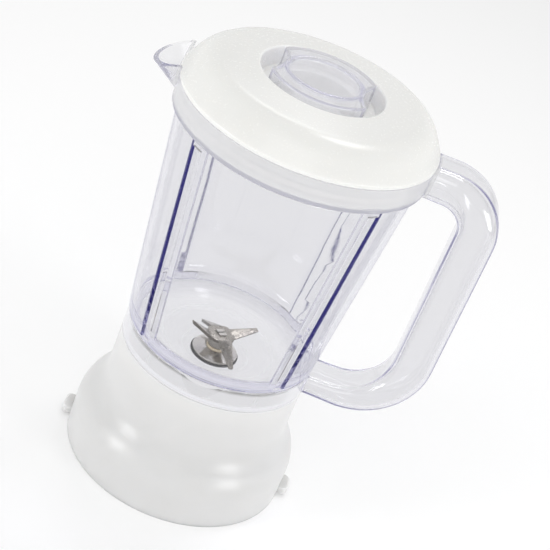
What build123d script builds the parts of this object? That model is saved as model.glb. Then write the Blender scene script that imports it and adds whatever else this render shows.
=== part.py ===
from build123d import *
import math
import os

# Blender jar, millimetres. The origin is on the jar's axis at the foot ring, +Z up,
# the handle towards +X and the spout towards -X.

# Overall heights and radii
base_height = 69.2          # foot ring to the seam between base collar and jug
jug_height = 144.8          # seam to the jug's rim
skirt_radius = 49.6         # jug skirt and collar neck, flush with each other
rim_radius = 64.5           # outside of the jug's rim band
foot_radius = 59.5          # outside of the collar at the foot

# Jug walls and levels
jug_wall = 2.6
rim_band_height = 13.3
rim_step = 3.1              # the band stands out this far from the tapered wall
skirt_height = 14.8         # seam to the ledge where the tapered wall starts
skirt_step = 0.8
spigot_depth = 9.0          # how far the jug reaches into the collar
spigot_wall = 2.4
brim_rise = 4.3             # inner wall meets the floor this far above the ledge
bowl_inset = 10.1           # the floor's steep edge ends this far inside the skirt
bowl_edge_drop = 3.5        # and this far under the ledge
bowl_depth = 15.6           # ledge to the bearing seat
floor_thickness = 3.0
boss_depth = 10.4           # bearing boss under the floor
boss_wall = 6.9
edge_round = 0.6
shoulder_round = 1.0
floor_round = 4.0

# Flutes in the jug's wall
flute_count = 4
flute_mouth = 8.6
flute_bottom = 5.6
flute_depth = 2.4
flute_top_gap = 3.2         # under the rim band's step
flute_low_gap = 1.0         # under the ledge
flute_margin = 2.1          # the ridge inside is wider by this on each side
flute_round = 0.8

# Pouring spout: a rounded beak whose lip falls from two ears beside the lid to its tip
spout_reach = 14.1          # tip beyond the rim band
spout_tip_radius = 13.6
spout_foot_radius = 7.0
spout_foot_sink = 0.4       # the foot of the beak ends this far inside the band
spout_wall = 2.4
spout_lip_drop = 1.8        # tip under the rim
spout_ear = 4.8             # ears above the rim
lid_room = 0.3              # between the lid's edge and whatever stands beside it

# Handle: a hollow loop, deeper at the grip than at its two arms
handle_reach = 41.5         # rim band to the outside of the grip
handle_grip = 20.2
handle_top_arm = 18.0
handle_low_arm = 11.8
handle_top_width = 27.0
handle_low_width = 25.0
handle_top_radius = 30.0    # outside corners of the loop
handle_low_radius = 42.0
handle_top_bend = 15.0      # inside corners of the loop
handle_low_bend = 22.0
handle_round = 5.2
handle_wall = 2.8
handle_top_rise = 1.4       # above the rim, beside the lid
handle_low_gap = 0.1        # above the seam

# Lid
lid_overhang = 0.5
lid_edge = 2.0
lid_wall = 2.2
lid_rise = 17.4             # rim to the top of the dome
lid_crown_drop = 2.4        # the dome falls this far towards its shoulder
lid_shoulder_inset = 8.0
lid_shoulder_round = 16.0
plug_depth = 12.0
plug_clearance = 0.4
pocket_radius = 31.3
pocket_taper = 2.3
pocket_depth = 8.4
collar_depth = 9.0          # filler hole's collar under the pocket
seal_height = 3.0
seal_depth = 1.2
seal_drop = 6.0             # rim to the top of the seal's groove
seal_clearance = 0.05

# Measuring cap
cup_radius = 19.8
cup_wall = 1.8
cup_depth = 27.0            # under the pocket floor
cup_clearance = 0.4
grip_radius = 27.4
grip_flat = 23.6            # half the width across the flats
grip_height = 11.2
grip_wall = 2.0
grip_flange = 2.2
scoop_depth = 3.7
ring_rise = 0.9
dish_radius = 16.0
dish_depth = 2.2
cap_turn = -5.0             # the cap sits turned a little in its pocket

# Base collar
collar_wall = 2.5
lap_clearance = 0.15
flare_top = 37.0            # corners of the flare, before rounding
flare_low = 24.3
flare_radius = 20.0
bore_length = 10.5          # straight inside wall at the foot
lug_reach = 4.8
lug_length = 13.0
lug_thickness = 4.0
lug_level = 1.6             # underside of the lugs above the foot
lug_round = 3.0
lug_edge = 0.8

# Bearing unit
stem_radius = 7.4
stem_clearance = 0.3
gasket_thickness = 0.8
gasket_radius = 12.8
flange_radius = 12.2
flange_edge = 1.2
dome_height = 3.6           # flange underside to the top of the housing
dome_top_radius = 6.2
housing_bore = 5.0
housing_lip = 1.0
bush_clearance = 0.02
bush_length = 8.0
stem_reach = 10.2           # stem below the floor boss
washer_radius = 14.0
washer_thickness = 2.0
nut_radius = 10.5           # across the corners
nut_height = 7.4
seal_lip_height = 2.4

# Rotor
shaft_radius = 3.0
running_clearance = 0.04
end_play = 0.3
shaft_flat_width = 5.0
shaft_flat_depth = 4.2
flat_clearance = 0.03
thrust_thickness = 0.7
thrust_radius = 5.2
spacer_radius = 5.2
spacer_height = 5.2
clip_radius = 4.9
clip_thickness = 0.8
clip_groove_depth = 0.4
clip_gap = 2.4
rivet_rise = 0.7
rivet_slot = 0.8

# Blade
sheet = 1.7
hub_half = 6.0
hub_corner = 2.5
wing_root = 10.4
wing_tip = 3.2
wing_length = 14.4
wing_skew = 1.6             # the tip's offset from the wing's centre line
bevel_width = 2.4           # ground edge on the leading side of each wing
bevel_depth = 1.2
wing_angle = 37.5
wing_bends = (7, -34, 32, -30)   # degrees up from the hub, anticlockwise from the first wing

# Drive coupling
coupling_radius = 12.0
coupling_wall = 2.2
coupling_height = 19.0
coupling_web = 5.0
coupling_drop = 12.4        # below the clip
coupling_hub = 4.6
tooth_count = 6
tooth_width = 2.6
tooth_rise = 1.6
tooth_length = 10.0

# Levels worked out from the sizes above
rim_level = base_height + jug_height
step_level = rim_level - rim_band_height
ledge_level = base_height + skirt_height
seat_level = ledge_level - bowl_depth
boss_level = seat_level - floor_thickness - boss_depth
wall_top_radius = rim_radius - rim_step
wall_foot_radius = skirt_radius + skirt_step
rim_inner = rim_radius - jug_wall
spigot_radius = skirt_radius - collar_wall - lap_clearance
stem_hole = stem_radius + stem_clearance
seat_radius = gasket_radius + shoulder_round
plug_radius = rim_inner - plug_clearance
hole_radius = cup_radius + cup_clearance
crown_level = rim_level + lid_rise
pocket_level = crown_level - pocket_depth
grip_level = pocket_level + grip_height
flange_level = seat_level + gasket_thickness
housing_top = flange_level + dome_height
stem_level = boss_level - stem_reach
spacer_level = housing_top + thrust_thickness + end_play
hub_level = spacer_level + spacer_height
clip_level = stem_level - end_play - thrust_thickness - clip_thickness
coupling_level = clip_level - coupling_drop
coupling_foot = coupling_level - coupling_height
shaft_foot = coupling_level - coupling_web - coupling_hub
far = 3 * rim_radius        # larger than any piece, for cutting


def turned(*corners):
    """Solid of revolution about the jar's axis.

    Each corner is (radius, level) or (radius, level, rounding)."""
    points = [corner[:2] for corner in corners]
    rounds = [corner[2] if len(corner) > 2 else 0 for corner in corners]
    outline = FilletPolyline(*points, radius=rounds, close=True)
    return revolve(Plane.XZ * make_face(outline), Axis.Z)


def ring(inner, outer, low, high):
    """Plain round ring between two levels."""
    return turned((inner, low), (outer, low), (outer, high), (inner, high))


def flat_bar(low, high, grow=0.0):
    """Bar with the spindle ends' flatted section."""
    section = Rectangle(shaft_flat_depth + 2 * grow, shaft_flat_width + 2 * grow)
    return extrude(Pos(0, 0, low) * section, high - low)


def vessel_form(grow):
    """The jug's outside as a filled form, grown or shrunk by an offset."""
    return turned(
        (0, base_height), (skirt_radius + grow, base_height),
        (skirt_radius + grow, ledge_level - skirt_step),
        (wall_foot_radius + grow, ledge_level),
        (wall_top_radius + grow, step_level - rim_step / 2),
        (rim_radius + grow, step_level),
        (rim_radius + grow, rim_level + far), (0, rim_level + far))


def jug_shell():
    """Vessel wall, dished floor, bearing boss, skirt and spigot in one section."""
    skirt_inner = skirt_radius - jug_wall
    bowl_radius = skirt_radius - bowl_inset
    bowl_level = ledge_level - bowl_edge_drop
    spigot_level = base_height - spigot_depth
    spigot_inner = spigot_radius - spigot_wall
    inner_foot = wall_foot_radius - jug_wall
    inner_top = wall_top_radius - jug_wall
    boss_radius = stem_hole + boss_wall
    return turned(
        (spigot_inner, spigot_level, edge_round), (spigot_radius, spigot_level, edge_round),
        (spigot_radius, base_height), (skirt_radius, base_height, edge_round / 2),
        (skirt_radius, ledge_level - skirt_step, edge_round), (wall_foot_radius, ledge_level, edge_round),
        (wall_top_radius, step_level - rim_step / 2, edge_round), (rim_radius, step_level, edge_round),
        (rim_radius, rim_level, edge_round), (rim_inner, rim_level, edge_round),
        (rim_inner, step_level + jug_wall / 2, edge_round),
        (inner_top, step_level - jug_wall / 2, edge_round),
        (inner_foot, ledge_level + brim_rise, floor_round), (bowl_radius, bowl_level, floor_round),
        (seat_radius, seat_level, floor_round / 2), (stem_hole, seat_level),
        (stem_hole, boss_level), (boss_radius, boss_level, edge_round),
        (boss_radius, seat_level - floor_thickness, shoulder_round),
        (bowl_radius, bowl_level - floor_thickness, floor_round),
        (skirt_inner, ledge_level - jug_wall, shoulder_round),
        (skirt_inner, base_height + spigot_wall, shoulder_round),
        (spigot_inner, base_height - spigot_wall, shoulder_round))


def flute_bar(mouth, bottom, outer, depth, low, high):
    """Trapezoid bar along the tapered wall, on +X, between two distances up the wall."""
    run = wall_top_radius - wall_foot_radius
    rise = step_level - rim_step / 2 - ledge_level
    lean = math.atan2(run, rise)
    plane = Plane(
        origin=(wall_foot_radius, 0, ledge_level),
        x_dir=(math.cos(lean), 0, -math.sin(lean)),
        z_dir=(math.sin(lean), 0, math.cos(lean)))
    outline = FilletPolyline(
        (outer, -mouth / 2), (-depth, -bottom / 2), (-depth, bottom / 2), (outer, mouth / 2),
        radius=[0, flute_round, flute_round, 0], close=True)
    return extrude(plane.offset(low) * make_face(outline), high - low)


def flutes():
    """Grooves outside the wall, and the ridges that they raise inside it."""
    run = wall_top_radius - wall_foot_radius
    rise = step_level - rim_step / 2 - ledge_level
    top = math.hypot(run, rise) - flute_top_gap
    groove = flute_bar(flute_mouth, flute_bottom, flute_depth, flute_depth, -flute_low_gap, top)
    ridge = flute_bar(
        flute_mouth + 2 * flute_margin, flute_bottom + 2 * flute_margin, -jug_wall / 2,
        flute_depth + jug_wall, 0, top + jug_wall)
    turns = [360 / flute_count * (i + 0.5) for i in range(flute_count)]
    grooves = [Rot(0, 0, turn) * groove for turn in turns]
    ridges = [Rot(0, 0, turn) * ridge for turn in turns]
    return grooves, ridges


def beak(inset, foot_lift):
    """Filled form of the spout, narrowing from its ears to its foot on the rim band."""
    spread = (rim_band_height + spout_ear) / (rim_band_height - spout_lip_drop)
    foot_end = rim_radius - spout_foot_sink
    ear_end = foot_end + (spout_foot_sink + spout_reach) * spread
    ear_radius = spout_foot_radius + (spout_tip_radius - spout_foot_radius) * spread
    sections = []
    for level, end, radius in (
            (step_level + foot_lift, foot_end, spout_foot_radius),
            (rim_level + spout_ear, ear_end, ear_radius)):
        plan = Pos(radius - end, 0) * Circle(radius - inset)
        plan += Pos((radius - end) / 2, 0) * Rectangle(end - radius, 2 * (radius - inset))
        sections.append(Pos(0, 0, level) * plan)
    return loft(sections, ruled=True)


def handle_form(inset):
    """The loop as a filled form, or its hollow when it is shrunk by a wall's thickness."""
    top = rim_level + handle_top_rise - inset
    low = base_height + handle_low_gap + inset
    outer = rim_radius + handle_reach - inset
    inner = rim_radius + handle_reach - handle_grip + inset
    top_arm = rim_level + handle_top_rise - handle_top_arm + inset
    low_arm = base_height + handle_low_gap + handle_low_arm - inset
    top_root = wall_top_radius - handle_wall
    low_root = skirt_radius - jug_wall
    outline = FilletPolyline(
        (top_root, top), (outer, top), (outer, low), (low_root, low),
        (low_root, low_arm), (inner, low_arm), (inner, top_arm), (top_root, top_arm),
        radius=[
            0, handle_top_radius - inset, handle_low_radius - inset, 0,
            0, handle_low_bend + inset, handle_top_bend + inset, 0],
        close=True)
    loop = extrude(Plane.XZ * make_face(outline), handle_top_width, both=True)
    top_half = handle_top_width / 2 - inset
    low_half = handle_low_width / 2 - inset
    sides = Polyline((-low_half, low), (low_half, low), (top_half, top), (-top_half, top), close=True)
    loop &= extrude(Plane.YZ * make_face(sides), far)
    faces = loop.faces().sort_by(Axis.Y)
    return fillet(faces[0].edges() + faces[-1].edges(), handle_round - inset)


def jug():
    grooves, ridges = flutes()
    lip_lean = math.degrees(math.atan2(spout_ear + spout_lip_drop, spout_reach))
    lip_plane = Plane(origin=(-rim_radius, 0, rim_level + spout_ear)).rotated((0, -lip_lean, 0))
    above_lip = lip_plane * Pos(0, 0, far / 2) * Box(far, far, far)
    above_rim = Pos(0, 0, rim_level + far / 2) * Cylinder(rim_radius + lid_overhang + lid_room, far)
    inside = vessel_form(-jug_wall / 2)
    body = jug_shell()
    for ridge in ridges:
        body += ridge
    for groove in grooves:
        body -= groove
    body += beak(0, 0) - inside - above_lip - above_rim
    body -= beak(spout_wall, spout_wall)
    body += handle_form(0) - inside - above_rim
    body -= handle_form(handle_wall) - vessel_form(0)
    return body


def lid():
    """Domed cover with the cap's pocket, the filler collar and the plug skirt."""
    edge = rim_radius + lid_overhang
    shoulder = edge - lid_shoulder_inset
    shoulder_level = crown_level - lid_crown_drop
    pocket_foot = pocket_radius - pocket_taper
    plug_inner = plug_radius - lid_wall
    plug_level = rim_level - plug_depth
    groove_top = rim_level - seal_drop
    groove_low = groove_top - seal_height
    groove_radius = plug_radius - seal_depth
    collar_radius = hole_radius + lid_wall
    return turned(
        (plug_inner - seal_depth, plug_level, edge_round), (plug_radius, plug_level, edge_round),
        (plug_radius, groove_low), (groove_radius, groove_low), (groove_radius, groove_top),
        (plug_radius, groove_top), (plug_radius, rim_level),
        (edge, rim_level, edge_round / 2), (edge, rim_level + lid_edge, edge_round),
        (shoulder, shoulder_level, lid_shoulder_round), (pocket_radius, crown_level, shoulder_round),
        (pocket_foot, pocket_level, shoulder_round), (hole_radius, pocket_level, edge_round),
        (hole_radius, pocket_level - collar_depth, edge_round / 2),
        (collar_radius, pocket_level - collar_depth, edge_round / 2),
        (collar_radius, pocket_level - lid_wall, edge_round),
        (pocket_foot + lid_wall / 2, pocket_level - lid_wall, shoulder_round),
        (pocket_radius + lid_wall, crown_level - lid_wall, shoulder_round),
        (shoulder - lid_wall / 2, shoulder_level - lid_wall, lid_shoulder_round - lid_wall),
        (plug_inner - seal_depth, rim_level + lid_edge, edge_round))


def lid_seal():
    groove_top = rim_level - seal_drop - seal_clearance
    groove_low = groove_top - seal_height + 2 * seal_clearance
    middle = (groove_top + groove_low) / 2
    return turned(
        (plug_radius - seal_depth + seal_clearance, groove_low), (plug_radius, groove_low),
        (rim_inner - seal_clearance, middle, edge_round / 2), (plug_radius, groove_top),
        (plug_radius - seal_depth + seal_clearance, groove_top))


def grip_outline(scooped):
    """Plan of the cap's grip: a round with two flats, hollowed for the fingers above its flange."""
    outline = Circle(grip_radius) & Rectangle(2 * grip_flat, 2 * grip_radius)
    if scooped:
        half_chord = math.sqrt(grip_radius**2 - grip_flat**2)
        scoop_radius = (half_chord**2 + scoop_depth**2) / (2 * scoop_depth)
        reach = grip_flat - scoop_depth + scoop_radius
        for side in (-1, 1):
            outline -= Pos(side * reach, 0) * Circle(scoop_radius)
    return fillet(outline.vertices(), edge_round)


def measuring_cap():
    """Cup that hangs in the filler hole, closed on top by a grip with a dished middle."""
    plan = grip_outline(True)
    height = grip_height - ring_rise
    body = grip_outline(False)
    body = extrude(body, grip_flange) + extrude(plan, height)
    body -= extrude(offset(plan, -grip_wall), height - grip_wall)
    cup_level = pocket_level - cup_depth
    dish_level = grip_level - dish_depth
    cup_inner = cup_radius - cup_wall
    cup = turned(
        (cup_inner, cup_level, edge_round), (cup_radius, cup_level, edge_round),
        (cup_radius, grip_level, edge_round), (dish_radius + dish_depth / 2, grip_level, edge_round),
        (dish_radius, dish_level, edge_round), (0, dish_level),
        (0, dish_level - grip_wall), (cup_inner, dish_level - grip_wall, edge_round))
    return Rot(0, 0, cap_turn) * (Pos(0, 0, pocket_level) * body + cup)


def base_collar():
    """Bell-shaped collar under the jug, with a flat bayonet lug on each side of its foot."""
    neck_inner = skirt_radius - collar_wall
    foot_inner = foot_radius - collar_wall
    bell = turned(
        (skirt_radius, base_height, edge_round / 2), (skirt_radius, flare_top, flare_radius),
        (foot_radius, flare_low, flare_radius), (foot_radius, 0, edge_round / 2),
        (foot_inner, 0, edge_round / 2), (foot_inner, bore_length),
        (foot_inner - edge_round, bore_length + edge_round),
        (foot_inner - edge_round, flare_low, flare_radius), (neck_inner, flare_top, flare_radius),
        (neck_inner, base_height, edge_round / 2))
    lug_tip = foot_radius + lug_reach
    plan = RectangleRounded(2 * lug_tip, lug_length, lug_round) & Circle(lug_tip)
    plan -= Circle(foot_radius - collar_wall / 2)
    lugs = extrude(Pos(0, 0, lug_level) * plan, lug_thickness)
    rims = lugs.edges().filter_by(lambda edge: abs(edge.center().X) > foot_radius)
    lugs = fillet(rims.filter_by(Plane.XY), lug_edge)
    return bell + lugs


def bearing_housing():
    """Polished dome and flange on the floor, with a stem that goes down through it."""
    return turned(
        (housing_bore, stem_level, edge_round / 2), (stem_radius, stem_level, edge_round),
        (stem_radius, flange_level), (flange_radius, flange_level, edge_round / 2),
        (flange_radius, flange_level + flange_edge, edge_round),
        (dome_top_radius, housing_top, shoulder_round),
        (shaft_radius + running_clearance, housing_top),
        (shaft_radius + running_clearance, housing_top - housing_lip),
        (housing_bore, housing_top - housing_lip))


def housing_gasket():
    return ring(stem_radius + running_clearance, gasket_radius, seat_level, flange_level)


def bush(low):
    return ring(
        shaft_radius + running_clearance, housing_bore - bush_clearance, low, low + bush_length)


def shaft_seal():
    top = housing_top - housing_lip
    return turned(
        (shaft_radius + running_clearance, top - seal_lip_height / 3),
        (housing_bore - bush_clearance, top - seal_lip_height),
        (housing_bore - bush_clearance, top), (shaft_radius + running_clearance, top))


def clamp_washer():
    return ring(stem_hole, washer_radius, boss_level - washer_thickness, boss_level)


def clamp_nut():
    top = boss_level - washer_thickness
    nut = extrude(Pos(0, 0, top - nut_height) * RegularPolygon(nut_radius, 6), nut_height)
    corners = turned(
        (0, top), (nut_radius, top, edge_round), (nut_radius, top - nut_height, edge_round),
        (0, top - nut_height))
    return (nut & corners) - Cylinder(stem_radius + bush_clearance, far)


def drive_shaft():
    """Spindle: round in its bushes, flatted at both ends, riveted over the blade."""
    shoulder_low = clip_level - clip_thickness
    groove_radius = shaft_radius - clip_groove_depth
    journal = turned(
        (0, shoulder_low), (shaft_radius, shoulder_low, edge_round / 2), (shaft_radius, clip_level),
        (groove_radius, clip_level), (groove_radius, clip_level + clip_thickness),
        (shaft_radius, clip_level + clip_thickness), (shaft_radius, spacer_level), (0, spacer_level))
    top = hub_level + sheet + rivet_rise
    shaft = journal + flat_bar(shaft_foot, shoulder_low) + flat_bar(spacer_level, top)
    slot = Box(shaft_flat_depth * 2, rivet_slot, 2 * rivet_rise)
    return Rot(0, 0, wing_angle) * (shaft - Pos(0, 0, top) * slot)


def blade_spacer():
    spacer = turned(
        (0, spacer_level), (spacer_radius, spacer_level, edge_round),
        (spacer_radius, hub_level, edge_round / 2), (0, hub_level))
    hole = flat_bar(spacer_level - end_play, hub_level + sheet, flat_clearance)
    return spacer - Rot(0, 0, wing_angle) * hole


def wing(bend):
    """One bent, ground wing that leaves the hub towards +X."""
    root = Vector(-sheet / 2, -wing_root / 2, sheet / 2)
    tip = Vector(wing_length, wing_skew - wing_tip / 2, sheet / 2)
    outline = FilletPolyline(
        (root.X, root.Y), (tip.X, tip.Y), (wing_length, wing_skew + wing_tip / 2), (root.X, -root.Y),
        radius=[0, wing_tip / 3, wing_tip / 3, 0], close=True)
    plate = extrude(Pos(0, 0, -sheet / 2) * make_face(outline), sheet)
    along = tip - root
    grinder = Plane(origin=root, x_dir=(-along.Y, along.X, 0), z_dir=along)
    wedge = Polyline(
        (2 * bevel_width, bevel_depth), (-bevel_width, bevel_depth), (-bevel_width, -2 * bevel_depth),
        close=True)
    plate -= extrude(grinder * make_face(wedge), along.length + wing_tip)
    fold = Rot(90, 0, 0) * Cylinder(sheet / 2, wing_root)
    return Pos(hub_half, 0, 0) * (Rot(0, -bend, 0) * plate + fold)


def blade():
    hub = extrude(RectangleRounded(2 * hub_half, 2 * hub_half, hub_corner), sheet / 2, both=True)
    cutter = hub
    for i, bend in enumerate(wing_bends):
        cutter += Rot(0, 0, i * 360 / len(wing_bends)) * wing(bend)
    cutter = Pos(0, 0, hub_level + sheet / 2) * cutter
    cutter -= flat_bar(hub_level - sheet, hub_level + 2 * sheet, flat_clearance)
    return Rot(0, 0, wing_angle) * cutter


def retaining_clip():
    groove_radius = shaft_radius - clip_groove_depth
    clip = ring(groove_radius, clip_radius, clip_level, clip_level + clip_thickness)
    return clip - Pos(far / 2, 0, clip_level) * Box(far, clip_gap, far)


def drive_coupling():
    """Socket that the motor's dog turns: a toothed cup hung from a web on the spindle."""
    inner = coupling_radius - coupling_wall
    web_level = coupling_level - coupling_web
    cup = turned(
        (0, coupling_level), (coupling_radius, coupling_level, shoulder_round),
        (coupling_radius, coupling_foot, edge_round), (inner, coupling_foot, edge_round),
        (inner, web_level, edge_round), (coupling_hub, web_level, edge_round),
        (coupling_hub, shaft_foot, edge_round), (0, shaft_foot))
    tooth = Pos(inner, 0, coupling_foot + coupling_wall + tooth_length / 2)
    tooth *= Box(2 * tooth_rise, tooth_width, tooth_length)
    for i in range(tooth_count):
        cup += Rot(0, 0, i * 360 / tooth_count) * tooth
    hole = flat_bar(shaft_foot - end_play, coupling_level + end_play, flat_clearance)
    return cup - Rot(0, 0, wing_angle) * hole


pieces = {
    "jug": jug(),
    "lid": lid(),
    "lid_seal": lid_seal(),
    "measuring_cap": measuring_cap(),
    "base_collar": base_collar(),
    "bearing_housing": bearing_housing(),
    "housing_gasket": housing_gasket(),
    "upper_bush": bush(housing_top - housing_lip - seal_lip_height - bush_length),
    "lower_bush": bush(stem_level),
    "shaft_seal": shaft_seal(),
    "upper_thrust_washer": ring(
        shaft_radius + running_clearance, thrust_radius, housing_top, housing_top + thrust_thickness),
    "clamp_washer": clamp_washer(),
    "clamp_nut": clamp_nut(),
    "drive_shaft": drive_shaft(),
    "blade": blade(),
    "blade_spacer": blade_spacer(),
    "lower_thrust_washer": ring(
        shaft_radius, thrust_radius, clip_level + clip_thickness, clip_level + clip_thickness + thrust_thickness),
    "retaining_clip": retaining_clip(),
    "drive_coupling": drive_coupling(),
}

os.makedirs("parts", exist_ok=True)
for name, shape in pieces.items():
    export_step(shape, f"parts/{name}.step")
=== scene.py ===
import bmesh
import bpy
import math
from mathutils import Matrix, Vector


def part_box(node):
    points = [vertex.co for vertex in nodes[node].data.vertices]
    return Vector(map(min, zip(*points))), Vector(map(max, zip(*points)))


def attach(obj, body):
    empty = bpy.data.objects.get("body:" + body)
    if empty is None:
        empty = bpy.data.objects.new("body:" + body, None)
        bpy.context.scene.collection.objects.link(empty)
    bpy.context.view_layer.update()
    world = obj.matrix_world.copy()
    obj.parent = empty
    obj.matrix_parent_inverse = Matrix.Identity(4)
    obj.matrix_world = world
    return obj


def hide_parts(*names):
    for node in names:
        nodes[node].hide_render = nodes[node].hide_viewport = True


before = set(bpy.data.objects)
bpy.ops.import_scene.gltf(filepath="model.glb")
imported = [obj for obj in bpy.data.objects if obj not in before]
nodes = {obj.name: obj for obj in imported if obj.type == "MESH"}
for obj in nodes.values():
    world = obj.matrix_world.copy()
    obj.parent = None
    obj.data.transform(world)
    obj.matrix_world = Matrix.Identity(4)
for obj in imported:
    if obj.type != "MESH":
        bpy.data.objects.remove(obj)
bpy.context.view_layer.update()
scene = bpy.context.scene
bpy.ops.object.select_all(action="DESELECT")
print("jar loaded:", len(nodes), "pieces")


def linear(hexColour):  # sRGB hex to the linear values that the shaders take
    parts = [int(hexColour[i:i + 2], 16) / 255 for i in (1, 3, 5)]
    return tuple(c / 12.92 if c <= 0.04045 else ((c + 0.055) / 1.055) ** 2.4 for c in parts) + (1.0,)


def addNode(material, kind, settings=None, links=None):  # links: input name -> (node, output name)
    tree = material.node_tree
    node = tree.nodes.new(kind)
    for key, value in (settings or {}).items():
        if isinstance(key, int) or key in node.inputs:
            node.inputs[key].default_value = value
        else:
            setattr(node, key, value)
    for key, (source, output) in (links or {}).items():
        tree.links.new(source.outputs[output], node.inputs[key])
    return node


def newMaterial(name):
    material = bpy.data.materials.new(name)
    material.use_nodes = True
    material.node_tree.nodes.clear()
    return material


def perMetre(millimetres):  # texture scale that gives a pattern of this size
    return 1000 / millimetres


mergeGap = 0.000001   # points nearer than this are one point
sameGap = 0.00001     # points nearer than this lie on the same line or level


# clear styrene copolymer, moulded against a polished tool: bright faces, slow flow waves and a violet tint
# that deepens with the depth of plastic; where a ray has met many faces it ends on a painted violet glow,
# paler at the rim and the handle, in place of the light it would carry out; the jug's floor, the inside of
# its skirt, the rim band and the cap are hazed by fine marks, so they look milkier than the walls, and the
# haze seen through a wall is mostly a painted glow
clearLooks = {
    # the first three colours of each piece are a painted violet glow: on the walls, at the rim and at the
    # handle
    "jug": {
        "paintedTrappedGlow": "#6765a6", "paintedGlowRim": "#e2e1ea", "paintedGlowHandle": "#bbbacf",
        "density": 22.0, "haze": 0.75, "skirtHaze": 0.85, "topHaze": 0.4,
        "topColour": "#dadadb"},
    "cap": {
        "paintedTrappedGlow": "#9694c4", "paintedGlowRim": "#9694c4", "paintedGlowHandle": "#9694c4",
        "density": 22.0, "haze": 0.0, "skirtHaze": 0.0, "topHaze": 0.17,
        "topColour": "#f2f2f3"},
}
clearBase = {
    "tint": "#a29fcf",        # of the plastic itself, as deep as the density makes it
    "faces": "#f5f5f5",       # what each face lets through
    "ior": 1.5,
    "roughLow": 0.015,
    "roughHigh": 0.05,
    "flowSize": 26.0,         # mm, slow waves where the plastic flowed
    "flowDepth": 0.00003,
    "wipeSize": 3.0,          # mm, faint wiping marks
    "passed": "#fafafc",      # lamp light after one face
    "turns": 11.0,            # faces met before the ray ends on the painted violet glow
    "edgeLow": 0.193,         # the painted glow is dark violet below this height, pale at the rim above the next
    "edgeHigh": 0.199,
    "handleFrom": 0.066,      # along x, where the painted glow turns to the handle's paler one
    "handleTo": 0.076,
    "hazeColour": "#eeeef0",
    "paintedGlowShare": 0.9,             # share of the haze seen through a wall that is a painted glow in place of light from outside
    "paintedGlowColour": "#f6f6f7",
    "hazeTop": 0.0800,        # highest and widest part of the hazed floor
    "hazeRadius": 0.0485,
    "hazeFade": 0.002,        # width of the haze's soft border
    "skirtRadius": 0.0455,    # from here on the haze is the skirt's
    "topFrom": 0.1995,        # the rim and the cap are hazed above this height, inside this radius
    "topRadius": 0.0665,
    "turningSize": 1.6,       # mm, rings left by turning and wiping
    "ringLow": 0.75,          # how unevenly the rings haze
    "ringHigh": 1.25,
}


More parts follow.
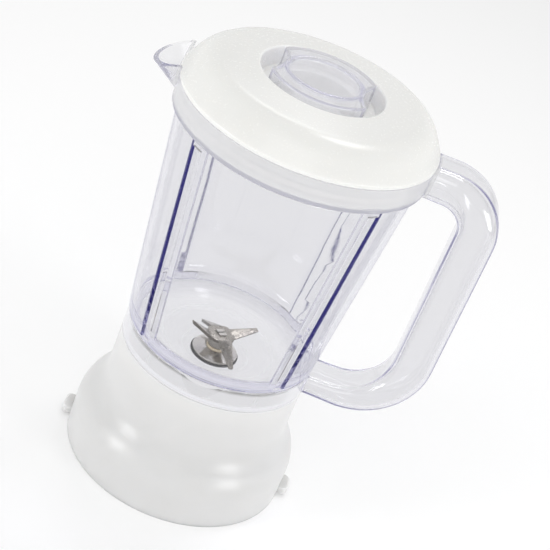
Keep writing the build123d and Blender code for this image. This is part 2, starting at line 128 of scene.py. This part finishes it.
def clearPlastic(piece):
    look = clearLooks[piece]
    material = newMaterial("clearStyrenePlastic_" + piece)
    place = addNode(material, "ShaderNodeTexCoord")
    wipes = addNode(
        material, "ShaderNodeTexNoise",
        {"Scale": perMetre(clearBase["wipeSize"]), "Detail": 4.0, "Roughness": 0.6},
        {"Vector": (place, "Object")})
    rough = addNode(
        material, "ShaderNodeMapRange",
        {"From Min": 0.35, "From Max": 0.75,
         "To Min": clearBase["roughLow"], "To Max": clearBase["roughHigh"]},
        {"Value": (wipes, "Fac")})
    flow = addNode(
        material, "ShaderNodeTexNoise",
        {"Scale": perMetre(clearBase["flowSize"]), "Detail": 1.0},
        {"Vector": (place, "Object")})
    waves = addNode(
        material, "ShaderNodeBump",
        {"Strength": 0.5, "Distance": clearBase["flowDepth"]},
        {"Height": (flow, "Fac")})
    shader = addNode(
        material, "ShaderNodeBsdfPrincipled",
        {"Base Color": linear(clearBase["faces"]), "IOR": clearBase["ior"], "Transmission Weight": 1.0},
        {"Roughness": (rough, "Result"), "Normal": (waves, "Normal")})
    depth = addNode(
        material, "ShaderNodeVolumeAbsorption",
        {"Color": linear(clearBase["tint"]), "Density": look["density"]})
    rays = addNode(material, "ShaderNodeLightPath")
    axes = addNode(material, "ShaderNodeSeparateXYZ", None, {0: (place, "Object")})
    atHandle = addNode(
        material, "ShaderNodeMapRange",
        {"From Min": clearBase["handleFrom"], "From Max": clearBase["handleTo"]}, {"Value": (axes, "X")})
    upWall = addNode(
        material, "ShaderNodeMapRange",
        {"From Min": clearBase["edgeLow"], "From Max": clearBase["edgeHigh"]}, {"Value": (axes, "Z")})
    # painted violet glow, paler at the rim and the handle, standing in for light that deep rays would carry
    # out
    paintedGlowByHeight = addNode(
        material, "ShaderNodeMix",
        {"data_type": "RGBA", 6: linear(look["paintedTrappedGlow"]), 7: linear(look["paintedGlowRim"])},
        {"Factor": (upWall, "Result")})
    paintedGlowTone = addNode(
        material, "ShaderNodeMix", {"data_type": "RGBA", 7: linear(look["paintedGlowHandle"])},
        {"Factor": (atHandle, "Result"), 6: (paintedGlowByHeight, 2)})
    paintedTrappedGlow = addNode(material, "ShaderNodeEmission", {"Strength": 1.0}, {"Color": (paintedGlowTone, 2)})
    flat = addNode(
        material, "ShaderNodeVectorMath", {"operation": "MULTIPLY", 1: (1, 1, 0)}, {0: (place, "Object")})
    radius = addNode(material, "ShaderNodeVectorMath", {"operation": "LENGTH"}, {0: (flat, 0)})
    within = addNode(
        material, "ShaderNodeMath",
        {"operation": "LESS_THAN", 1: clearBase["hazeRadius"]}, {0: (radius, "Value")})
    under = addNode(
        material, "ShaderNodeMapRange",
        {"From Min": clearBase["hazeTop"] - clearBase["hazeFade"], "From Max": clearBase["hazeTop"],
         "To Min": 1.0, "To Max": 0.0},
        {"Value": (axes, "Z")})
    along = addNode(material, "ShaderNodeCombineXYZ", None, {"X": (radius, "Value")})
    rings = addNode(
        material, "ShaderNodeTexNoise", {"Scale": perMetre(clearBase["turningSize"]), "Detail": 3.0},
        {"Vector": (along, 0)})
    ringed = addNode(
        material, "ShaderNodeMapRange",
        {"To Min": clearBase["ringLow"], "To Max": clearBase["ringHigh"]}, {"Value": (rings, "Fac")})
    strength = addNode(
        material, "ShaderNodeMapRange",
        {"From Min": clearBase["skirtRadius"] - clearBase["hazeFade"], "From Max": clearBase["skirtRadius"],
         "To Min": look["haze"], "To Max": look["skirtHaze"]},
        {"Value": (radius, "Value")})
    atTop = addNode(
        material, "ShaderNodeMath", {"operation": "GREATER_THAN", 1: clearBase["topFrom"]}, {0: (axes, "Z")})
    inRim = addNode(
        material, "ShaderNodeMath",
        {"operation": "LESS_THAN", 1: clearBase["topRadius"]}, {0: (radius, "Value")})
    topZone = addNode(material, "ShaderNodeMath", {"operation": "MULTIPLY"}, {0: (atTop, 0), 1: (inRim, 0)})
    topHaze = addNode(
        material, "ShaderNodeMath", {"operation": "MULTIPLY", 1: look["topHaze"]}, {0: (topZone, 0)})
    lowHaze = strength
    for part in (within, under):
        lowHaze = addNode(
            material, "ShaderNodeMath", {"operation": "MULTIPLY"}, {0: (lowHaze, 0), 1: (part, 0)})
    anyHaze = addNode(
        material, "ShaderNodeMath", {"operation": "MAXIMUM"}, {0: (lowHaze, 0), 1: (topHaze, 0)})
    hazed = addNode(material, "ShaderNodeMath", {"operation": "MULTIPLY"}, {0: (anyHaze, 0), 1: (ringed, 0)})
    mattTone = addNode(
        material, "ShaderNodeMix",
        {"data_type": "RGBA", 6: linear(clearBase["hazeColour"]), 7: linear(look["topColour"])},
        {"Factor": (topZone, 0)})
    matt = addNode(material, "ShaderNodeBsdfDiffuse", None, {"Color": (mattTone, 2)})
    # painted glow on the haze where it is seen through a wall, standing in for light inside the jug; at the
    # rim and cap it takes the top colour
    paintedHazeGlowTone = addNode(
        material, "ShaderNodeMix",
        {"data_type": "RGBA", 6: linear(clearBase["paintedGlowColour"]), 7: linear(look["topColour"])},
        {"Factor": (topZone, 0)})
    paintedHazeGlow = addNode(material, "ShaderNodeEmission", {"Strength": 1.0}, {"Color": (paintedHazeGlowTone, 2)})
    throughWall = addNode(  # not on the first face met
        material, "ShaderNodeMath", {"operation": "GREATER_THAN", 1: 0.5}, {0: (rays, "Ray Depth")})
    share = addNode(
        material, "ShaderNodeMath", {"operation": "MULTIPLY", 1: clearBase["paintedGlowShare"]}, {0: (throughWall, 0)})
    lit = addNode(
        material, "ShaderNodeMixShader", None, {0: (share, 0), 1: (matt, "BSDF"), 2: (paintedHazeGlow, "Emission")})
    milky = addNode(
        material, "ShaderNodeMixShader", None, {0: (hazed, 0), 1: (shader, "BSDF"), 2: (lit, "Shader")})
    # past that many faces the ray ends on the painted glow instead of going on
    paintedGlowMask = addNode(
        material, "ShaderNodeMath",
        {"operation": "GREATER_THAN", 1: clearBase["turns"]}, {0: (rays, "Ray Depth")})
    inside = addNode(
        material, "ShaderNodeMixShader", None,
        {0: (paintedGlowMask, 0), 1: (milky, "Shader"), 2: (paintedTrappedGlow, "Emission")})
    passed = addNode(material, "ShaderNodeBsdfTransparent", {"Color": linear(clearBase["passed"])})
    both = addNode(
        material, "ShaderNodeMixShader", None,
        {0: (rays, "Is Shadow Ray"), 1: (inside, "Shader"), 2: (passed, "BSDF")})
    addNode(
        material, "ShaderNodeOutputMaterial", None,
        {"Surface": (both, "Shader"), "Volume": (depth, "Volume")})
    return material


# white polypropylene, moulded: satin, and a little light goes into it, deeper in the base; the base's colour
# is set greyer than the lid's, partly its own tone and partly painted shade
whiteLooks = {
    "lid": {
        "colour": "#e6e6e4", "shade": "#e2e2df", "rough": 0.26, "cloud": 35.0,  # cloud and grain in mm
        "grain": 1.1, "grainDepth": 0.000001, "depth": 0.003},
    # greyer than the lid's white, partly as painted shade
    "base": {
        "colour": "#d3d3d3", "shade": "#cfcfce", "rough": 0.3, "cloud": 35.0,
        "grain": 1.3, "grainDepth": 0.000002, "depth": 0.006},
}


def whitePlastic(piece):
    look = whiteLooks[piece]
    material = newMaterial("whitePolypropylene_" + piece)
    place = addNode(material, "ShaderNodeTexCoord")
    cloud = addNode(
        material, "ShaderNodeTexNoise",
        {"Scale": perMetre(look["cloud"]), "Detail": 2.0}, {"Vector": (place, "Object")})
    tone = addNode(
        material, "ShaderNodeMix",
        {"data_type": "RGBA", 6: linear(look["colour"]), 7: linear(look["shade"])},
        {"Factor": (cloud, "Fac")})
    grain = addNode(
        material, "ShaderNodeTexNoise",
        {"Scale": perMetre(look["grain"]), "Detail": 3.0, "Roughness": 0.6}, {"Vector": (place, "Object")})
    rough = addNode(
        material, "ShaderNodeMapRange",
        {"From Min": 0.3, "From Max": 0.7, "To Min": look["rough"] - 0.015, "To Max": look["rough"] + 0.02},
        {"Value": (grain, "Fac")})
    skin = addNode(
        material, "ShaderNodeBump",
        {"Strength": 0.6, "Distance": look["grainDepth"]}, {"Height": (grain, "Fac")})
    shader = addNode(
        material, "ShaderNodeBsdfPrincipled",
        {"IOR": 1.5, "Subsurface Weight": 1.0, "Subsurface Scale": look["depth"],
         "Subsurface Radius": (1.0, 0.97, 0.94)},
        {"Roughness": (rough, "Result"), "Normal": (skin, "Normal")})
    material.node_tree.links.new(tone.outputs[2], shader.inputs["Base Color"])
    addNode(material, "ShaderNodeOutputMaterial", None, {"Surface": (shader, "BSDF")})
    return material


# stainless steel: the blade is rolled sheet, satin and a little brown; the turned pieces are polished; faces
# that stand steep take a painted dark reflection
steelLooks = {
    # the edge colour is a painted dark reflection, laid on faces that stand steep
    "sheet": {
        "colour": "#b0aba3", "shade": "#9d9891", "edge": "#5f5952",
        "rough": 0.26, "grit": 0.5, "marks": 0.000003},  # grit in mm
    "turned": {
        "colour": "#e2dfda", "shade": "#cfcbc6", "edge": "#8d8983",
        "rough": 0.17, "grit": 0.35, "marks": 0.000002},
}
gritShown = 3  # the grit is drawn this many times too coarse, to show


def stainlessSteel(make):
    look = steelLooks[make]
    material = newMaterial("stainlessSteel_" + make)
    place = addNode(material, "ShaderNodeTexCoord")
    stretch = addNode(
        material, "ShaderNodeMapping", {"Scale": (1.0, 1.0, 9.0)}, {"Vector": (place, "Object")})
    lines = addNode(
        material, "ShaderNodeTexNoise",
        {"Scale": perMetre(look["grit"]) / gritShown, "Detail": 4.0, "Roughness": 0.65},
        {"Vector": (stretch, "Vector")})
    tone = addNode(
        material, "ShaderNodeMix",
        {"data_type": "RGBA", 6: linear(look["colour"]), 7: linear(look["shade"])},
        {"Factor": (lines, "Fac")})
    # painted reflection: faces that stand steep take the darker edge colour, as if they mirrored a dark room
    facing = addNode(material, "ShaderNodeNewGeometry")
    slope = addNode(material, "ShaderNodeSeparateXYZ", None, {0: (facing, "Normal")})
    level = addNode(material, "ShaderNodeMath", {"operation": "ABSOLUTE"}, {0: (slope, "Z")})
    topSide = addNode(
        material, "ShaderNodeMapRange", {"From Min": 0.25, "From Max": 0.9}, {"Value": (level, 0)})
    shaded = addNode(
        material, "ShaderNodeMix", {"data_type": "RGBA", 6: linear(look["edge"])},
        {"Factor": (topSide, "Result"), 7: (tone, 2)})
    rough = addNode(
        material, "ShaderNodeMapRange",
        {"From Min": 0.3, "From Max": 0.7, "To Min": look["rough"] - 0.05, "To Max": look["rough"] + 0.08},
        {"Value": (lines, "Fac")})
    marks = addNode(
        material, "ShaderNodeBump", {"Strength": 0.4, "Distance": look["marks"]}, {"Height": (lines, "Fac")})
    shader = addNode(
        material, "ShaderNodeBsdfPrincipled", {"Metallic": 1.0},
        {"Base Color": (shaded, 2), "Roughness": (rough, "Result"), "Normal": (marks, "Normal")})
    addNode(material, "ShaderNodeOutputMaterial", None, {"Surface": (shader, "BSDF")})
    return material


# plain inner materials: moulded rubber and silicone, natural nylon and sintered bronze, each with its own
# fine grain, which dulls it and breaks its tone a little
plainLooks = {
    "nitrileRubber": {"colour": "#1c1c1e", "shade": "#2a2a2c", "rough": 0.62, "metal": 0.0, "grain": 0.5},
    "whiteSilicone": {"colour": "#ecebe6", "shade": "#e2e1dc", "rough": 0.5, "metal": 0.0, "grain": 0.8},
    "naturalNylon": {"colour": "#d8cbb0", "shade": "#cbbd9f", "rough": 0.46, "metal": 0.0, "grain": 1.2},
    "sinteredBronze": {"colour": "#a9805a", "shade": "#8a6545", "rough": 0.5, "metal": 1.0, "grain": 0.4},
}
plainGrainDepth = 0.00003


def plainMaterial(name):
    look = plainLooks[name]
    material = newMaterial(name)
    place = addNode(material, "ShaderNodeTexCoord")
    grain = addNode(
        material, "ShaderNodeTexNoise",
        {"Scale": perMetre(look["grain"]), "Detail": 3.0}, {"Vector": (place, "Object")})
    tone = addNode(
        material, "ShaderNodeMix",
        {"data_type": "RGBA", 6: linear(look["colour"]), 7: linear(look["shade"])},
        {"Factor": (grain, "Fac")})
    rough = addNode(
        material, "ShaderNodeMapRange",
        {"To Min": look["rough"] - 0.06, "To Max": look["rough"] + 0.08}, {"Value": (grain, "Fac")})
    skin = addNode(
        material, "ShaderNodeBump",
        {"Strength": 0.4, "Distance": plainGrainDepth}, {"Height": (grain, "Fac")})
    shader = addNode(
        material, "ShaderNodeBsdfPrincipled", {"Metallic": look["metal"]},
        {"Roughness": (rough, "Result"), "Normal": (skin, "Normal")})
    material.node_tree.links.new(tone.outputs[2], shader.inputs["Base Color"])
    addNode(material, "ShaderNodeOutputMaterial", None, {"Surface": (shader, "BSDF")})
    return material


turnedSteel = stainlessSteel("turned")
rubber = plainMaterial("nitrileRubber")
silicone = plainMaterial("whiteSilicone")
nylon = plainMaterial("naturalNylon")
bronze = plainMaterial("sinteredBronze")
finishes = {
    "jug": clearPlastic("jug"), "measuring_cap": clearPlastic("cap"),
    "lid": whitePlastic("lid"), "base_collar": whitePlastic("base"),
    "bearing_housing": turnedSteel, "clamp_washer": turnedSteel, "clamp_nut": turnedSteel,
    "drive_shaft": turnedSteel, "blade": stainlessSteel("sheet"), "blade_spacer": turnedSteel,
    "retaining_clip": turnedSteel,
    "lid_seal": silicone, "housing_gasket": rubber, "shaft_seal": rubber,
    "upper_bush": bronze, "lower_bush": bronze,
    "upper_thrust_washer": nylon, "lower_thrust_washer": nylon, "drive_coupling": nylon,
}
for name, finish in finishes.items():
    nodes[name].data.materials.clear()
    nodes[name].data.materials.append(finish)
print("finishes set:", len(finishes))


def rolledGrid(name, rows, columns, place):  # a grid whose columns close into rings, with both ends filled
    bpy.ops.object.select_all(action="DESELECT")
    bpy.ops.mesh.primitive_grid_add(
        x_subdivisions=rows - 1, y_subdivisions=columns, size=1, location=(0, 0, 0))
    piece = bpy.context.object
    piece.name = name
    for vertex in piece.data.vertices:
        row = round((vertex.co.x + 0.5) * (rows - 1))
        column = round((vertex.co.y + 0.5) * columns) % columns
        vertex.co = place(row, column)
    bpy.ops.object.mode_set(mode="EDIT")
    bpy.ops.mesh.select_all(action="SELECT")
    bpy.ops.mesh.remove_doubles(threshold=mergeGap)
    bpy.ops.mesh.select_all(action="DESELECT")
    bpy.ops.mesh.select_non_manifold()
    bpy.ops.mesh.fill_holes(sides=0)
    bpy.ops.mesh.select_all(action="SELECT")
    bpy.ops.mesh.normals_make_consistent(inside=False)
    bpy.ops.object.mode_set(mode="OBJECT")
    return piece


def combine(piece, tool, operation):  # the tool is used up
    bpy.context.view_layer.objects.active = piece
    cut = piece.modifiers.new("cut", "BOOLEAN")
    cut.operation = operation
    cut.solver = "MANIFOLD"
    cut.object = tool
    bpy.ops.object.modifier_apply(modifier="cut")
    bpy.data.objects.remove(tool)


# jug: walls, spout and floor as the solid has them, and the loop handle drawn again as a round hollow tube
jugShape = {
    "topMiddle": 0.2064,      # middle line of the handle: two arms and the grip
    "lowMiddle": 0.0752,
    "gripMiddle": 0.0959,
    "topRoot": 0.0588,
    "lowRoot": 0.0470,
    "topBend": 0.022,
    "lowBend": 0.032,
    "topArm": (0.027, 0.018, 0.0076),      # width, depth and corner of the section
    "gripTop": (0.027, 0.0202, 0.0076),
    "gripLow": (0.025, 0.0202, 0.0076),
    "lowArm": (0.025, 0.0108, 0.005),
    "tubeWall": 0.0023,
    "wall": 0.0026,           # of the jug itself
    "profile": (              # radius and height of the jug's outside
        (0.0496, 0.060), (0.0496, 0.0832), (0.0504, 0.084),
        (0.0614, 0.19915), (0.0645, 0.2007), (0.0645, 0.25)),
    "cutGap": 0.00003,        # left on the wall where the old handle is cut off
    "wallFit": 0.00012,       # faces this near to the outside belong to the wall
    "rimLevel": 0.214,
    "lidRoom": 0.0653,        # radius kept free for the lid above the rim
    "oldHandle": ((0.040, -0.0145, 0.0691), (0.115, 0.0145, 0.2165)),
    "smoothAngle": 32.0,
    "armSteps": 6,
    "topBendSteps": 20,
    "gripSteps": 12,
    "lowBendSteps": 24,
    "cornerSteps": 12,
    "ringSteps": 256,
}


def bendStations(middle, level, reach, first, steps):  # a quarter turn of the path, from its first facing on
    stations = []
    for i in range(steps + 1):
        turn = first - 90 * i / steps
        a = math.radians(turn)
        stations.append((middle + reach * math.cos(a), level + reach * math.sin(a), turn))
    return stations


def handlePath():  # x, z and facing in degrees of each station on the middle line, from the rim to the skirt
    shape = jugShape
    topStart = shape["gripMiddle"] - shape["topBend"]
    lowStart = shape["gripMiddle"] - shape["lowBend"]
    high, low = shape["topMiddle"] - shape["topBend"], shape["lowMiddle"] + shape["lowBend"]
    stations = []
    for i in range(shape["armSteps"]):
        x = shape["topRoot"] + (topStart - shape["topRoot"]) * i / shape["armSteps"]
        stations.append((x, shape["topMiddle"], 90))
    stations += bendStations(topStart, high, shape["topBend"], 90, shape["topBendSteps"])
    for i in range(1, shape["gripSteps"]):
        stations.append((shape["gripMiddle"], high + (low - high) * i / shape["gripSteps"], 0))
    stations += bendStations(lowStart, low, shape["lowBend"], 0, shape["lowBendSteps"])
    for i in range(1, shape["armSteps"] + 1):
        x = lowStart + (shape["lowRoot"] - lowStart) * i / shape["armSteps"]
        stations.append((x, shape["lowMiddle"], -90))
    return stations


def handleTube(name, inset):  # the loop as a filled form, its section changing along the path
    shape = jugShape
    stations = handlePath()
    steps = shape["cornerSteps"] + 1
    gripStart = shape["armSteps"] + shape["topBendSteps"]
    gripEnd = gripStart + shape["gripSteps"]
    marks = [
        (0, shape["topArm"]), (gripStart, shape["gripTop"]), (gripEnd, shape["gripLow"]),
        (len(stations) - 1, shape["lowArm"])]

    def place(row, column):
        x, z, turn = stations[row]
        for (first, one), (last, other) in zip(marks, marks[1:]):
            if first <= row <= last:
                share = (row - first) / (last - first)
                share = share * share * (3 - 2 * share)  # eased at both ends
                width, depth, corner = [p + (q - p) * share for p, q in zip(one, other)]
        width, depth, corner = width / 2 - inset, depth / 2 - inset, corner - inset
        quarter, step = divmod(column, steps)
        a = math.radians(90 * quarter + 90 * step / shape["cornerSteps"])
        signs = ((1, 1), (-1, 1), (-1, -1), (1, -1))[quarter]
        across = signs[0] * (width - corner) + corner * math.cos(a)
        out = signs[1] * (depth - corner) + corner * math.sin(a)
        t = math.radians(turn)
        return x + out * math.cos(t), across, z + out * math.sin(t)

    return rolledGrid(name, len(stations), 4 * steps, place)


def turnedForm(name, points):  # a filled form turned from radius and height points
    def place(row, column):
        a = 2 * math.pi * column / jugShape["ringSteps"]
        r, z = points[row]
        return r * math.cos(a), r * math.sin(a), z

    return rolledGrid(name, len(points), jugShape["ringSteps"], place)


def vesselForm(name, grow):  # the jug's outside as a filled form
    profile = jugShape["profile"]
    points = [(0, profile[0][1])] + [(r + grow, z) for r, z in profile] + [(0, profile[-1][1])]
    return turnedForm(name, points)


def wallRadius(height):  # of the jug's outside
    for (low, start), (high, end) in zip(jugShape["profile"], jugShape["profile"][1:]):
        if start <= height <= end:
            return low + (high - low) * (height - start) / (end - start)
    return 0


def aboveRim():  # the lid's room, where no handle may stand
    low, high = jugShape["rimLevel"], jugShape["profile"][-1][1]
    return turnedForm("aboveRim", [
        (0, low), (jugShape["lidRoom"], low), (jugShape["lidRoom"], high), (0, high)])


bpy.ops.object.select_all(action="DESELECT")
jugBody = nodes["jug"].copy()
jugBody.data = nodes["jug"].data.copy()
jugBody.name = "jugBody"
jugBody.parent = None
jugBody.matrix_world = Matrix.Identity(4)
scene.collection.objects.link(jugBody)
# the solid's own shading is carried through the cuts as an attribute
kept = jugBody.data.attributes.new("mouldedNormal", "FLOAT_VECTOR", "CORNER")
for corner, normal in zip(kept.data, nodes["jug"].data.corner_normals):
    corner.vector = normal.vector
jugBody.select_set(True)
bpy.context.view_layer.objects.active = jugBody
bpy.ops.object.mode_set(mode="EDIT")
bpy.ops.mesh.select_all(action="SELECT")
bpy.ops.mesh.remove_doubles(threshold=mergeGap)
bpy.ops.object.mode_set(mode="OBJECT")
lowCorner, highCorner = jugShape["oldHandle"]
bpy.ops.object.select_all(action="DESELECT")
bpy.ops.mesh.primitive_cube_add(size=1, location=(0, 0, 0))
room = bpy.context.object
for vertex in room.data.vertices:
    vertex.co = [low if c < 0 else high for c, low, high in zip(vertex.co, lowCorner, highCorner)]
combine(room, vesselForm("outside", jugShape["cutGap"]), "DIFFERENCE")
combine(jugBody, room, "DIFFERENCE")
tube = handleTube("tube", 0)
combine(tube, vesselForm("inside", -jugShape["wall"] / 2), "DIFFERENCE")
combine(tube, aboveRim(), "DIFFERENCE")
combine(jugBody, tube, "UNION")
hollow = handleTube("hollow", jugShape["tubeWall"])
combine(hollow, vesselForm("outside", 0), "DIFFERENCE")
combine(jugBody, hollow, "DIFFERENCE")
bpy.ops.object.select_all(action="DESELECT")
jugBody.select_set(True)
bpy.context.view_layer.objects.active = jugBody
bpy.ops.object.shade_smooth_by_angle(angle=math.radians(jugShape["smoothAngle"]))
kept = jugBody.data.attributes["mouldedNormal"]
shading = [Vector((0, 0, 0))] * len(kept.data)
for face in jugBody.data.polygons:
    points = [jugBody.data.vertices[i].co for i in face.vertices]
    onWall = all(abs(math.hypot(p.x, p.y) - wallRadius(p.z)) < jugShape["wallFit"] for p in points)
    for corner, point in zip(face.loop_indices, points):
        moulded = Vector(kept.data[corner].vector)
        if moulded.length > 0.5:  # zero on faces that the cuts made
            shading[corner] = moulded.normalized()
        elif onWall:  # new wall where the old handle stood
            outward = Vector((point.x, point.y, 0)).normalized() * math.hypot(face.normal.x, face.normal.y)
            shading[corner] = outward + Vector((0, 0, face.normal.z))
jugBody.data.normals_split_custom_set(shading)
jugBody.data.attributes.remove(jugBody.data.attributes["mouldedNormal"])
jugBody.data.materials.clear()
jugBody.data.materials.append(finishes["jug"])
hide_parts("jug")
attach(jugBody, "jar")
print("jug with its handle:", len(jugBody.data.polygons), "faces")

# blade: stamped sheet, four wings bent up and down from a square hub and ground thin along one edge each
bladeShape = {
    "hubHalf": 0.006,
    "sheet": 0.0017,
    "foldReach": 0.0006,
    "wingRoot": 0.0078,
    "wingTip": 0.0022,
    "wingLength": 0.0146,
    "wingSkew": 0.0008,
    "angle": 31.0,            # of the whole blade about the spindle
    "bends": (12, -26, 34, -28),  # degrees up or down, wing by wing
    "ground": 0.35,           # of the sheet's thickness, left at the leading edge
    "edge": 0.00015,
    "edgeAngle": 35.0,        # sharper edges than this are rounded
    "smoothAngle": 30.0,
}
bpy.ops.object.select_all(action="DESELECT")
bpy.ops.mesh.primitive_plane_add(size=2 * bladeShape["hubHalf"], location=(0, 0, 0))
cutter = bpy.context.object
cutter.name = "bladeCutter"
bpy.ops.object.mode_set(mode="EDIT")
bpy.ops.mesh.select_all(action="SELECT")
bpy.ops.mesh.bevel(
    affect="VERTICES", offset=bladeShape["hubHalf"] - bladeShape["wingRoot"] / 2,
    offset_type="OFFSET", segments=4)
leading = []  # points along the ground edges
for i, bend in enumerate(bladeShape["bends"]):
    turn = Matrix.Rotation(math.radians(90 * i), 3, "Z")
    outward, side = turn @ Vector((1, 0, 0)), turn @ Vector((0, 1, 0))
    slope = math.radians(bend)
    along = outward * math.cos(slope) + Vector((0, 0, math.sin(slope)))
    fold = outward * (bladeShape["hubHalf"] + bladeShape["foldReach"])
    tip = fold + along * bladeShape["wingLength"] + side * bladeShape["wingSkew"]
    bpy.ops.mesh.select_all(action="DESELECT")
    sheet = bmesh.from_edit_mesh(cutter.data)
    for edge in sheet.edges:
        edge.select_set(all(
            abs(v.co.dot(outward) - bladeShape["hubHalf"]) < sameGap and abs(v.co.z) < sameGap
            for v in edge.verts))
    bmesh.update_edit_mesh(cutter.data)
    for centre, width in ((fold, bladeShape["wingRoot"]), (tip, bladeShape["wingTip"])):
        bpy.ops.mesh.extrude_edges_move()
        sheet = bmesh.from_edit_mesh(cutter.data)
        for vertex in [v for v in sheet.verts if v.select]:
            isLeading = vertex.co.dot(side) < 0
            vertex.co = centre + side * (-width / 2 if isLeading else width / 2)
            if isLeading:
                leading.append(vertex.co.copy())
        bmesh.update_edit_mesh(cutter.data)
bpy.ops.mesh.select_all(action="SELECT")
bpy.ops.mesh.normals_make_consistent(inside=False)
bpy.ops.object.mode_set(mode="OBJECT")
thick = cutter.vertex_groups.new(name="thick")
for vertex in cutter.data.vertices:
    isGround = any((vertex.co - place).length < sameGap for place in leading)
    thick.add([vertex.index], bladeShape["ground"] if isGround else 1.0, "REPLACE")
solid = cutter.modifiers.new("thickness", "SOLIDIFY")
solid.thickness = bladeShape["sheet"]
solid.offset = 0
solid.vertex_group = "thick"
bpy.ops.object.modifier_apply(modifier="thickness")
rounding = cutter.modifiers.new("rounding", "BEVEL")
rounding.width = bladeShape["edge"]
rounding.segments = 2
rounding.limit_method = "ANGLE"
rounding.angle_limit = math.radians(bladeShape["edgeAngle"])
bpy.ops.object.modifier_apply(modifier="rounding")
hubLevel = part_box("blade_spacer")[1][2] + bladeShape["sheet"] / 2
turned = Matrix.Rotation(math.radians(bladeShape["angle"]), 4, "Z")
cutter.data.transform(Matrix.Translation((0, 0, hubLevel)) @ turned)
bpy.ops.object.shade_smooth_by_angle(angle=math.radians(bladeShape["smoothAngle"]))
cutter.data.materials.append(finishes["blade"])
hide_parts("blade")
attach(cutter, "rotor")
print("blade:", len(cutter.data.polygons), "faces")


# floor: white paper that keeps the soft shadow, and lifts to white for whatever looks at it
floorLook = {"size": 8.0, "colour": "#ffffff", "lift": 0.26}
bpy.ops.mesh.primitive_plane_add(size=floorLook["size"], location=(0, 0, 0))
floor = bpy.context.object
floor.name = "floor"
paper = newMaterial("whitePaper")
matt = addNode(paper, "ShaderNodeBsdfDiffuse", {"Color": linear(floorLook["colour"])})
glow = addNode(paper, "ShaderNodeEmission", {"Color": (1, 1, 1, 1), "Strength": 1.0})
rays = addNode(paper, "ShaderNodeLightPath")
seen = addNode(
    paper, "ShaderNodeMath", {"operation": "MAXIMUM"},
    {0: (rays, "Is Camera Ray"), 1: (rays, "Is Glossy Ray")})
seenAll = addNode(
    paper, "ShaderNodeMath", {"operation": "MAXIMUM"}, {0: (seen, 0), 1: (rays, "Is Transmission Ray")})
lift = addNode(paper, "ShaderNodeMath", {"operation": "MULTIPLY", 1: floorLook["lift"]}, {0: (seenAll, 0)})
blend = addNode(
    paper, "ShaderNodeMixShader", None, {0: (lift, 0), 1: (matt, "BSDF"), 2: (glow, "Emission")})
addNode(paper, "ShaderNodeOutputMaterial", None, {"Surface": (blend, "Shader")})
floor.data.materials.append(paper)

# soft studio light: an even dome and five softboxes
world = bpy.data.worlds.new("studioDome")
scene.world = world
world.use_nodes = True
lightLook = {"dome": 0.68, "seenDome": 0.98, "bounces": 24, "aim": (0, 0, 0.12)}
world.node_tree.nodes.clear()
dome = addNode(world, "ShaderNodeBackground", {"Strength": lightLook["dome"]})
seenDome = addNode(world, "ShaderNodeBackground", {"Strength": lightLook["seenDome"]})
for background in (dome, seenDome):
    background.inputs["Color"].default_value = (1, 1, 1, 1)
worldRays = addNode(world, "ShaderNodeLightPath")
direct = addNode(
    world, "ShaderNodeMath", {"operation": "MAXIMUM"},
    {0: (worldRays, "Is Camera Ray"), 1: (worldRays, "Is Glossy Ray")})
anyView = addNode(
    world, "ShaderNodeMath", {"operation": "MAXIMUM"},
    {0: (direct, 0), 1: (worldRays, "Is Transmission Ray")})
sky = addNode(
    world, "ShaderNodeMixShader", None, {0: (anyView, 0), 1: (dome, 0), 2: (seenDome, 0)})
addNode(world, "ShaderNodeOutputWorld", None, {"Surface": (sky, "Shader")})
for limit in ("max_bounces", "transmission_bounces", "glossy_bounces"):  # light crosses many clear walls
    setattr(scene.cycles, limit, lightLook["bounces"])
softboxes = {
    "tallLeft": {"place": (-0.92, -0.64, 0.3), "size": (0.3, 0.5), "power": 4.0},
    "tallRight": {"place": (0.95, -0.54, 0.3), "size": (0.4, 0.4), "power": 3.7},
    "above": {"place": (0.23, 0.4, 1.1), "size": (0.26, 0.17), "power": 1.6},
    "behind": {"place": (-0.02, 0.72, 0.92), "size": (0.3, 0.12), "power": 0.7},
    "frontFill": {"place": (-0.1, -0.9, 0.95), "size": (0.8, 0.5), "power": 1.5},
}
for name, box in softboxes.items():
    bpy.ops.object.light_add(type="AREA", location=box["place"])
    lamp = bpy.context.object
    lamp.name = name
    lamp.data.shape = "RECTANGLE"
    lamp.data.size, lamp.data.size_y = box["size"]
    lamp.data.energy = box["power"]
    toJar = Vector(lightLook["aim"]) - lamp.location
    lamp.rotation_euler = toJar.to_track_quat("-Z", "Y").to_euler()
print("floor and", len(softboxes), "softboxes set")

# camera: above the front, rolled, as the jar leans in the picture
cameraSet = {
    "place": (-0.02158, -0.68666, 0.5258), "aim": (0.01408, 0.00306, 0.12206),
    "roll": 22.72, "lens": 104.12, "sensor": 36.0}
bpy.ops.object.camera_add(location=cameraSet["place"])
camera = bpy.context.object
look = Vector(cameraSet["aim"]) - camera.location
level = look.to_track_quat("-Z", "Y").to_matrix().to_4x4()
turned = Matrix.Rotation(math.radians(cameraSet["roll"]), 4, "Z")
camera.matrix_world = Matrix.Translation(camera.location) @ level @ turned
camera.data.lens = cameraSet["lens"]
camera.data.sensor_width = cameraSet["sensor"]
scene.camera = camera
scene.view_settings.view_transform = "Standard"
print("camera set")
